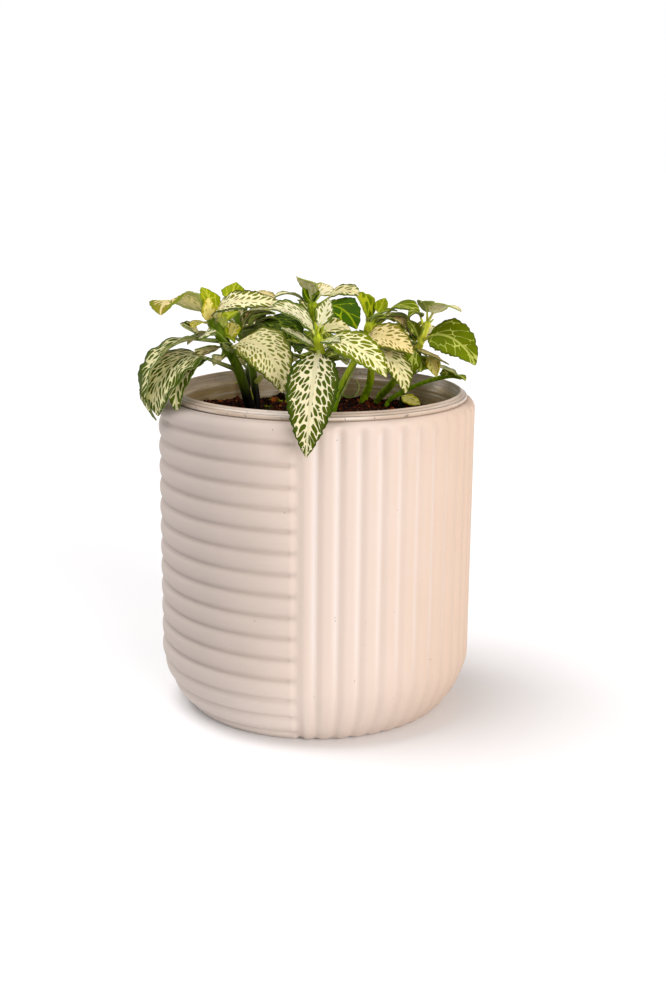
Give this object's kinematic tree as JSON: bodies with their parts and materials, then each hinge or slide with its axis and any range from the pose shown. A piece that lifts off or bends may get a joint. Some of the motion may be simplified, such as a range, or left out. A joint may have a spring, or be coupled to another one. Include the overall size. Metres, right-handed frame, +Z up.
{
  "type": "potted nerve plant",
  "caption": "Small houseplant with white-netted leaves, in a plastic grower's pot that hangs by its rim inside a round ceramic pot with level bands and upright flutes.",
  "frame": {"origin": "centre of the ceramic pot's flat foot, on the surface that it stands on", "axes": "+Z up out of the pot's mouth; -Y towards the side with the large white-netted leaf that hangs over the rim; the level bands are on the -X half of the pot and the upright flutes on the +X half"},
  "size_m": [0.1374, 0.1481, 0.1787],
  "materials": {
    "ceramic": "matte",
    "clear_plastic": "satin",
    "peat": "matte",
    "foliage": "satin"
  },
  "bodies": {
    "root": {"outer_pot": "ceramic", "liner_pot": "clear_plastic", "soil": "peat", "stem_left": "foliage", "stem_left_back": "foliage", "stem_front": "foliage", "stem_middle": "foliage", "stem_right_front": "foliage", "stem_right": "foliage", "stem_far_right": "foliage", "stem_twig": "foliage", "stem_back_left": "foliage", "stem_back_middle": "foliage", "stem_back_right": "foliage"}
  },
  "joints": []
}
